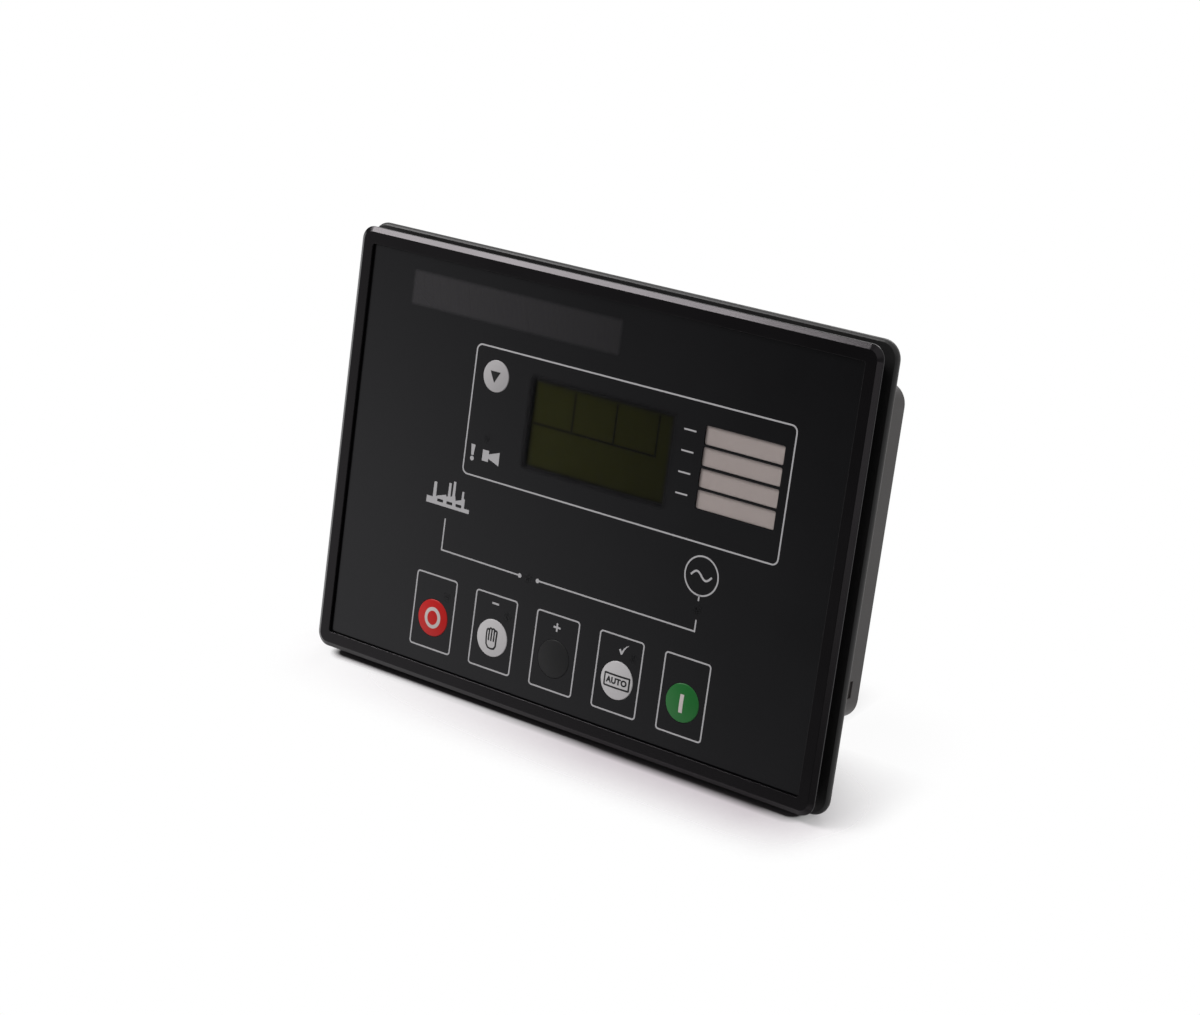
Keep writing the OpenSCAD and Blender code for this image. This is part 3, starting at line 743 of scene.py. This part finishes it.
def hand_lines(middle):
    """Lines of a raised hand: an outline whose finger tips are half rounds, and lines between the fingers."""
    edges = np.array([-2.45, -1.25, -0.05, 1.2, 2.4])
    tops = np.array([3.45, 3.95, 3.95, 3.5])
    turn = np.linspace(math.pi, 0, 9)
    centre = (edges[:-1] + edges[1:]) / 2
    half = (edges[1:] - edges[:-1]) / 2
    x = centre[:, None] + half[:, None] * np.cos(turn)
    z = (tops - half)[:, None] + half[:, None] * np.sin(turn)
    tips = np.stack([x, z], -1).reshape(-1, 2)
    palm = [(2.4, 0.2), (2.35, -2.5), (1.6, -3.7), (0.2, -3.95), (-1.3, -3.7), (-2.2, -2.4), (-2.45, 0.8)]
    outline = np.vstack([tips, palm]) + middle
    between = [np.array([(e, t), (e + 0.05, -0.9)]) + middle for e, t in zip(edges[1:4], (2.9, 3.3, 2.9))]
    return outline, between


# Colour setting and record slot of each key
KEY_FINISH = {
    "stop": ("red", "red_key"),
    "manual": ("white", "white_key"),
    "blank": ("black", "black_key"),
    "auto": ("white", "white_key"),
    "start": ("green", "green_key"),
    "scroll": ("scroll", "white_key"),
}
KEY_ROUGHNESS = {"red": 0.38, "white": 0.38, "scroll": 0.38, "black": 0.55, "green": 0.38}


class CONTROLLER_OT_keys(bpy.types.Operator):
    """Six domed keys, turned from their profiles, with the signs printed on them"""

    bl_idname = "controller.keys"
    bl_label = "Keys"

    def cap(self, key, sizes):
        """A key turned from its profile, from the end of its stem to the top of its dome.

        The profile is the stem, the skirt, the wall, a quarter round for the rim, and the cap of the dome.
        """
        _, high = span("key_" + key)
        radius = key_radius(key)
        middle = key_place(key)
        face = dome(key, sizes.dome)
        edge = sizes.key_round
        turn = np.linspace(math.pi / 2, 0, 7)
        rim_depth = face(middle[0] + radius - edge, middle[1])
        rim = np.stack([radius - edge + edge * np.sin(turn), rim_depth + edge - edge * np.cos(turn)], 1)
        out = np.linspace(radius - edge, 0, 24)[1:]
        crown = np.stack([out, face(middle[0] + out, np.full(out.shape, middle[1]))], 1)
        brim = radius + KEY_SKIRT
        stem = [(0, high[1]), (KEY_STEM, high[1]), (KEY_STEM, SKIRT_BACK)]
        skirt = [(brim, SKIRT_BACK), (brim, SKIRT_FRONT), (radius, SKIRT_FRONT)]
        return lathe(np.vstack([stem, skirt, rim, crown]), middle)

    def signs(self, key, sizes):
        """Shapes of the sign on a key, laid on its dome."""
        face = dome(key, sizes.dome)
        ink = sizes.ink
        middle = key_place(key)
        step = 0.4
        if key == "stop":
            ring = ring_path(middle + [0.3, 0.15], 3.2, 96, 1.1)
            return [layer(stroke(ring, 1.4, True, 5), face, ink, True)]
        if key == "start":
            bar = fine_path([middle + [0, -3.6], middle + [0, 3.35]], step, False)
            return [layer(stroke(bar, 1.65, False, 7), face, ink, False)]
        if key == "manual":
            outline, between = hand_lines(middle + [0.1, -0.15])
            shapes = [layer(stroke(fine_path(outline, step, True), 0.70, True, 3), face, ink, True)]
            lines = [fine_path(path, step, False) for path in between]
            return shapes + [layer(stroke(path, 0.65, False, 3), face, ink * 1.2, False) for path in lines]
        if key == "auto":
            centre = middle + [0.35, -0.3]
            box = fine_path(rounded_path(centre, (11.2, 4.75), 0.15, 2), step, True)
            word = words("AUTO", 3.15, centre, face, ink, ink * 1.3)
            return [layer(stroke(box, 0.68, True, 3), face, ink, True), word]
        if key == "scroll":
            s, t = np.meshgrid(np.linspace(0, 0.998, 12), np.linspace(0, 1, 12), indexing="ij")
            left, right, tip = np.array([(-2.5, 1.9), (2.4, 1.9), (-0.1, -2.45)]) + middle
            top = left + t[..., None] * (right - left)
            return [layer(top + s[..., None] * (tip - top), face, ink, False)]
        return []

    def execute(self, context):
        tones = context.scene.controller_finish
        sizes = sizes_in_mm(context)
        caps = {
            name: moulded(name + " key", getattr(tones, name), rough, 0.2, 0.004, tone=0.06, specular=0.35)
            for name, rough in KEY_ROUGHNESS.items()
        }
        pale = moulded("pale key print", tones.key_ink, 0.42, 0.18, 0.002, tone=0.04, specular=0.3)
        dark = moulded("dark key print", tones.dark_ink, 0.42, 0.18, 0.002, tone=0.08, specular=0.3)
        for key, (tint, slot) in KEY_FINISH.items():
            body = key + "_key"
            piece("cap_" + key, [self.cap(key, sizes)], caps[tint], body, slot, ["key_" + key], 40)
            shapes = self.signs(key, sizes)
            if shapes:
                ink, ink_slot = (pale, "white_key") if tint in ("red", "green") else (dark, "black_key")
                piece("sign_" + key, shapes, ink, body, ink_slot)
        return {"FINISHED"}


# Active area of the display, and the dark lines between its fields: middle, then width and height
CRYSTAL_AREA = ((5.1, 26.1), (62.6, 32.3))
CRYSTAL_SEAMS = (
    ((2.6, 26.1), (57.0, 0.95)),
    ((-8.0, 33.6), (0.95, 15.2)),
    ((11.3, 33.6), (0.95, 15.2)),
    ((30.4, 33.6), (0.95, 15.2)),
)


def crystal_finish(tones):
    """Display glass: an olive field with painted light, lighter on the left and dimmer to the right, with a
    dark border and faint dark lines.
    """
    material, tree = new_material("display crystal")
    x, _, z = tree.axes()
    field = tree.window(x, z, *CRYSTAL_AREA, 0.8, 2.2)
    seams = highest([tree.window(x, z, *seam, 0.3, 0.7) for seam in CRYSTAL_SEAMS])
    cells = tree.noise(9.0, 3.0)
    # Painted light: the olive is lighter on the left, where more light falls, and dims to the right.
    side = ((x + 26) / 62).clamp()
    dim = tree.mix(side, rgba(tones.crystal, 1.45), rgba(tones.crystal, 0.7))
    bright = tree.mix(side, rgba(tones.crystal, 1.85), rgba(tones.crystal, 0.95))
    olive = tree.mix(cells, dim, bright)
    lined = tree.mix(seams * 0.85, olive, rgba(tones.film, 0.7))
    tree.surface(
        {
            "Base Color": tree.mix(field, rgba(tones.film, 0.6), lined),
            "Roughness": 0.16 + (cells - 0.5) * 0.05,
            "Specular IOR Level": 0.13,
        }
    )
    return material


class CONTROLLER_OT_display(bpy.types.Operator):
    """Finishes of the display, its frame, the cards and the lamps behind the film"""

    bl_idname = "controller.display"
    bl_label = "Display, cards and lamps"

    def execute(self, context):
        tones = context.scene.controller_finish
        resin = moulded("smoked lamp resin", (0.003, 0.003, 0.003), 0.6, 0.6, 0.002, specular=0.1)
        dressed(crystal_finish(tones), "lcd_glass")
        dressed(moulded("black display frame", (0.010, 0.010, 0.011), 0.45, 0.3, 0.006), "lcd_frame")
        dressed(moulded("diffuser", (0.62, 0.64, 0.45), 0.5, 0.5, 0.004), "lcd_backlight")
        dressed(moulded("contact rubber", (0.26, 0.26, 0.28), 0.7, 0.3, 0.01), "lcd_contact_strips")
        dressed(moulded("grey title card", tones.strip, 0.65, 0.25, 0.004, specular=0.2), "title_card")
        dressed(moulded("white label card", tones.card, 0.62, 0.25, 0.006, specular=0.2), "alarm_card")
        dressed(resin, "indicator_leds")
        return {"FINISHED"}


def case_finish(tones):
    """Eroded rear moulding: warm dark grey, with painted shade on its flange's front face, in the groove behind
    the front frame.
    """
    material, tree = new_material("eroded rear moulding")
    _, y, _ = tree.axes()
    # Painted shade: the flange's front face, in the front frame's shadow, is coloured as black as the frame.
    front = ((y + 1.2) * -1.0).clamp()
    slow = tree.noise(38.0, 3.0)
    fine = tree.noise(0.55, 3.0, 0.6)
    warm = tree.mix(slow, rgba(tones.case, 0.9), rgba(tones.case, 1.1))
    tree.surface(
        {
            "Base Color": tree.mix(front, warm, rgba(tones.bezel)),
            "Roughness": 0.50 + (slow - 0.5) * 0.14 + (fine - 0.5) * 0.06,
            "Normal": tree.bump(fine, 0.022),
            "Specular IOR Level": 0.45,
        }
    )
    return material


class CONTROLLER_OT_rear_case(bpy.types.Operator):
    """Rear moulding with soft edges and a fine eroded texture, and the plated screws"""

    bl_idname = "controller.rear_case"
    bl_label = "Rear case"

    def execute(self, context):
        finish = case_finish(context.scene.controller_finish)
        softened("rear_case", sizes_in_mm(context).case_edge, finish, "case_plastic")
        steel = metal("zinc plate", (0.60, 0.60, 0.61), 0.34)
        dressed(steel, "case_screws", "display_board_screws", "main_board_screws")
        return {"FINISHED"}


class CONTROLLER_OT_terminals(bpy.types.Operator):
    """Terminal headers, the communication socket and their contacts"""

    bl_idname = "controller.terminals"
    bl_label = "Terminals"

    def execute(self, context):
        edge = sizes_in_mm(context).terminal_edge
        tint = context.scene.controller_finish.terminal
        green = moulded("terminal moulding", tint, 0.42, grain=0.4, depth=0.008)
        black = moulded("socket moulding", (0.016, 0.016, 0.018), 0.4)
        softened("lower_headers", edge, green, "terminal_plastic", segments=2)
        softened("upper_headers", edge, green, "terminal_plastic", segments=2)
        softened("comms_socket", edge, black, "connector_plastic", segments=2)
        dressed(metal("tinned pins", (0.72, 0.71, 0.69), 0.28), "lower_pins", "upper_pins", "relay_pins")
        dressed(metal("gilt contacts", (0.80, 0.56, 0.22), 0.22), "comms_contacts")
        return {"FINISHED"}


class CONTROLLER_OT_inner_parts(bpy.types.Operator):
    """Finishes of the boards and the parts inside the case"""

    bl_idname = "controller.inner_parts"
    bl_label = "Inner parts"

    def execute(self, context):
        mask = context.scene.controller_finish.board
        dressed(moulded("solder mask", mask, 0.35, 1.2, 0.006, tone=0.2), "display_board", "main_board")
        dark = moulded("dark switch plastic", (0.040, 0.040, 0.042), 0.5)
        dressed(dark, "switch_bodies", *["plunger_" + key for key in KEYS])
        dressed(moulded("connector plastic", (0.018, 0.018, 0.02), 0.45), "display_header", "main_header")
        dressed(moulded("socket plastic", (0.22, 0.22, 0.23), 0.5), "display_socket", "main_socket")
        dressed(moulded("ribbon vinyl", (0.30, 0.30, 0.32), 0.5, grain=1.27, depth=0.05), "ribbon_cable")
        dressed(moulded("chip resin", (0.010, 0.010, 0.010), 0.55), "processor")
        dressed(moulded("relay case", (0.018, 0.026, 0.036), 0.35), "relays")
        dressed(moulded("capacitor sleeve", (0.022, 0.030, 0.075), 0.32), "capacitors")
        return {"FINISHED"}


FLOOR_REACH = 1500  # from the middle of the floor to each of its sides
FLOOR_LINES = 31  # points along each side
FLOOR_GAP = 0.05  # from the floor up to the edge that rests on it

# Place in metres, size in metres, share of the key light's power and tint of each lamp
LAMPS = {
    "soft key": ((-0.887, -0.644, 0.915), 0.52, 1.0, (1, 0.985, 0.98)),
    "back light": ((-0.25, 0.90, 1.0), 0.8, 0.45, (1, 0.99, 0.985)),
    "right card": ((0.877, -1.2, -0.18), 0.4, 0.05, (1, 0.99, 0.99)),
}


class CONTROLLER_OT_stage(bpy.types.Operator):
    """Pale floor, soft studio light and the camera"""

    bl_idname = "controller.stage"
    bl_label = "Stage"

    def floor(self, setting):
        """Floor under the leaning controller.

        A grid along X and along the slope, in the plane through the rear edge that the controller rests on.
        """
        up = np.array([0, -math.sin(setting.lean), math.cos(setting.lean)])
        slope = np.array([0, math.cos(setting.lean), math.sin(setting.lean)])
        _, high = span("rear_case")
        edge = np.array([0, high[1] - BAY_ROUND, BAY_BOTTOM])
        lines = np.linspace(-FLOOR_REACH, FLOOR_REACH, FLOOR_LINES)
        u, v = np.meshgrid(lines, lines, indexing="ij")
        points = u[..., None] * [1, 0, 0] + v[..., None] * slope + up * (edge @ up - FLOOR_GAP)
        mesh = as_mesh("floor", (points.reshape(-1, 3), [grid_faces(FLOOR_LINES, FLOOR_LINES, False, False)]))
        mesh.materials.append(self.floor_finish(setting))
        made = bpy.data.objects.new("floor", mesh)
        bpy.context.scene.collection.objects.link(made)

    def floor_finish(self, setting):
        """Pale floor: a painted contact shadow under the front edge, and clear away from the controller's
        shadow.
        """
        material, tree = new_material("pale floor")
        x, y, z = tree.axes()
        along = y * math.cos(setting.lean) + z * math.sin(setting.lean)
        grain = tree.noise(3.0, 3.0)
        pale = tree.mix(grain, rgba(setting.floor, 0.985), rgba(setting.floor, 1.015))
        # The contact mask darkens the floor's colour under the front edge: a painted contact shadow.
        # spread is the soft shadow, which is weaker to the left, past the right end, and behind the right end.
        painted_contact_shadow = tree.window(x, along, (0, -21.5), (226, 15), 7, 5)
        spread = tree.window(x * 1.8, along, (0, 11), (475, 112), 40, 36)
        left = ((25 - x) / 130).clamp() * 0.8
        right = ((x - 95) / 30).clamp() * 0.5
        behind = ((along + 20) / 50).clamp() * ((x - 60) / 25).clamp() * 0.95
        shade = spread * spread * (3 - spread * 2) * (1 - left) * (1 - right) * (1 - behind)
        tree.surface(
            {
                "Base Color": tree.mix(painted_contact_shadow * 0.92, pale, rgba(setting.floor, 0.03)),
                "Roughness": 0.85,
                "Specular IOR Level": 0.1,
                "Alpha": painted_contact_shadow.high(shade),
            }
        )
        return material

    def lamp(self, name, place, size, power, tint):
        """A square soft light that faces the controller."""
        lamp = bpy.data.lights.new(name, "AREA")
        lamp.shape = "SQUARE"
        lamp.size = size
        lamp.energy = power
        lamp.color = tint
        made = bpy.data.objects.new(name, lamp)
        made.location = place
        aim = -made.location
        made.rotation_mode = "QUATERNION"
        made.rotation_quaternion = aim.to_track_quat("-Z", "Y")
        bpy.context.scene.collection.objects.link(made)

    def sky(self, setting):
        """Even light all round; the camera and reflections see it as white, but for a dim room in front."""
        world = bpy.data.worlds.new("studio")
        bpy.context.scene.world = world
        tree = Tree(world)
        outs = tree.add("ShaderNodeLightPath").socket.node.outputs
        camera = Val(tree, outs["Is Camera Ray"])
        seen = camera.high(Val(tree, outs["Is Glossy Ray"])).high(Val(tree, outs["Is Transmission Ray"]))
        split = tree.add("ShaderNodeSeparateXYZ", {0: tree.add("ShaderNodeTexCoord")}).socket.node.outputs
        right, back, up = (Val(tree, split[i]) for i in range(3))
        # table is how far a direction points down to the floor, and rear is the white behind the controller.
        # The room in front is dim: it gets lighter to the lower left, over the table, and towards the light
        # that shows on the frame's upper right corner.
        table = back * math.sin(setting.lean) - up * math.cos(setting.lean)
        rear = ((back + 0.6) * 4).clamp() * ((right + 0.95) * 4).clamp()
        left = (-0.47 - right).high(0.0)
        near = 2.1 - ((table - 0.45) * 4).clamp() * 1.5
        front = left * left * 22 * (table * 9 + 0.83).high(0.0) + (table - 0.05).high(0.0) * near + 0.05
        corner = (right * 0.26 - back * 0.76 + up * 0.60 - 0.75).high(0.0) * 5
        room = rear.high((front + corner).clamp())
        light = tree.add("ShaderNodeBackground", {"Color": (1, 0.985, 0.98, 1), "Strength": setting.ambient})
        white = tree.add("ShaderNodeBackground", {"Color": (1, 1, 1, 1), "Strength": camera.high(room)})
        both = tree.add("ShaderNodeMixShader", {0: seen, 1: light, 2: white})
        tree.add("ShaderNodeOutputWorld", {"Surface": both})

    def camera(self):
        """Camera at the photograph's angle: 80 mm on a 36 mm sensor, a metre away."""
        lens = bpy.data.cameras.new("camera")
        lens.sensor_width = 36.0
        lens.lens = 79.8
        lens.clip_start = 0.05
        made = bpy.data.objects.new("camera", lens)
        made.location = (0.561508, -0.786546, 0.216056)
        made.rotation_mode = "QUATERNION"
        made.rotation_quaternion = (0.7262, 0.606776, 0.14941, 0.286588)
        bpy.context.scene.collection.objects.link(made)
        bpy.context.scene.camera = made

    def execute(self, context):
        setting = context.scene.controller_stage
        context.scene.view_settings.view_transform = "Standard"
        self.floor(setting)
        for name, (place, size, share, tint) in LAMPS.items():
            self.lamp(name, place, size, setting.key_power * share, tint)
        self.sky(setting)
        self.camera()
        return {"FINISHED"}


GROUPS = {
    "controller_finish": ControllerFinish,
    "controller_sizes": ControllerSizes,
    "controller_stage": ControllerStage,
}

OPERATORS = (
    CONTROLLER_OT_stage,
    CONTROLLER_OT_front_frame,
    CONTROLLER_OT_film,
    CONTROLLER_OT_front_print,
    CONTROLLER_OT_keys,
    CONTROLLER_OT_display,
    CONTROLLER_OT_rear_case,
    CONTROLLER_OT_terminals,
    CONTROLLER_OT_inner_parts,
)


class CONTROLLER_PT_sidebar(bpy.types.Panel):
    """Lists the controller's settings and pieces"""

    bl_idname = "CONTROLLER_PT_sidebar"
    bl_label = "Controller"
    bl_space_type = "VIEW_3D"
    bl_region_type = "UI"
    bl_category = "Controller"

    def draw(self, context):
        for group_name, group in GROUPS.items():
            for setting in group.__annotations__:
                self.layout.prop(getattr(context.scene, group_name), setting)
        for operator in OPERATORS:
            self.layout.operator(operator.bl_idname)


def register():
    for name, group in GROUPS.items():
        bpy.utils.register_class(group)
        setattr(bpy.types.Scene, name, bpy.props.PointerProperty(type=group))
    for kind in (*OPERATORS, CONTROLLER_PT_sidebar):
        bpy.utils.register_class(kind)


def unregister():
    for kind in (CONTROLLER_PT_sidebar, *reversed(OPERATORS)):
        bpy.utils.unregister_class(kind)
    for name, group in GROUPS.items():
        delattr(bpy.types.Scene, name)
        bpy.utils.unregister_class(group)


def main():
    """Makes the stage and every piece."""
    register()
    bpy.ops.controller.stage()
    bpy.ops.controller.front_frame()
    bpy.ops.controller.film()
    bpy.ops.controller.front_print()
    bpy.ops.controller.keys()
    bpy.ops.controller.display()
    bpy.ops.controller.rear_case()
    bpy.ops.controller.terminals()
    bpy.ops.controller.inner_parts()


if __name__ == "__main__":
    main()
